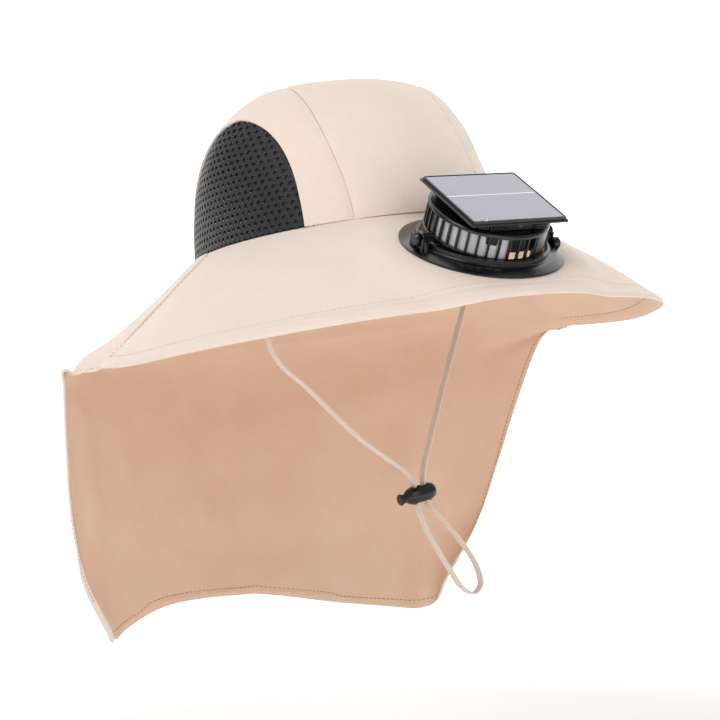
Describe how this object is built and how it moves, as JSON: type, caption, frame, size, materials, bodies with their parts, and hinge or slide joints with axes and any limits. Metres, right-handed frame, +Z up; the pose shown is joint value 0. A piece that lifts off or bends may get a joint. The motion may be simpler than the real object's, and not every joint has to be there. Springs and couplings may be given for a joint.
{
  "type": "solar fan hat",
  "caption": "Wide-brimmed sun hat with net side panels, a neck flap, a chin strap with a cord lock, and a tilting solar-powered fan clamped through the front of the brim.",
  "frame": {"origin": "centre of the head opening, on the seam between the crown and the brim", "axes": "-Y to the front, over the fan; -X to the wearer's right; +Z up as the hat is worn, with the front of the head opening lifted 10 degrees"},
  "size_m": [0.332, 0.3628, 0.3419],
  "materials": {
    "beige_cloth": "matt",
    "beige_tape": "matt",
    "black_net": "matt",
    "black_plastic": "gloss",
    "grey_plastic": "satin",
    "cell_glass": "gloss"
  },
  "bodies": {
    "hat": {"crown_center_panel": "beige_cloth", "crown_side_panel_right": "beige_cloth", "crown_side_panel_left": "beige_cloth", "mesh_insert_right": "black_net", "mesh_insert_left": "black_net", "brim": "beige_cloth", "neck_flap": "beige_cloth", "fan_flange": "black_plastic", "fan_backing_ring": "black_plastic", "chin_strap": "beige_tape", "cord_lock_body": "black_plastic"},
    "fan_head": {"fan_cage": "black_plastic", "air_guide": "grey_plastic", "fan_motor": "black_plastic", "solar_housing": "black_plastic", "solar_frame": "black_plastic", "solar_cell": "cell_glass"},
    "fan_rotor": {"fan_rotor": "black_plastic"},
    "cord_lock_button": {"cord_lock_button": "black_plastic"}
  },
  "joints": [
    {"name": "fan_tilt", "type": "hinge", "parent": "hat", "child": "fan_head", "pos_m": [0, -0.14524, 0.00414], "axis": [1, 0, 0], "range_deg": [-22, 8]},
    {"name": "rotor_spin", "type": "hinge", "parent": "fan_head", "child": "fan_rotor", "pos_m": [0, -0.14524, 0.00414], "axis": [0, -0.4625, 0.8866], "continuous": true},
    {"name": "lock_button_press", "type": "slide", "parent": "hat", "child": "cord_lock_button", "axis": [0.9877, 0.0272, 0.1541], "range_m": [0, 0.0018], "stiffness_N_per_m": 300, "springref_m": -0.002}
  ]
}
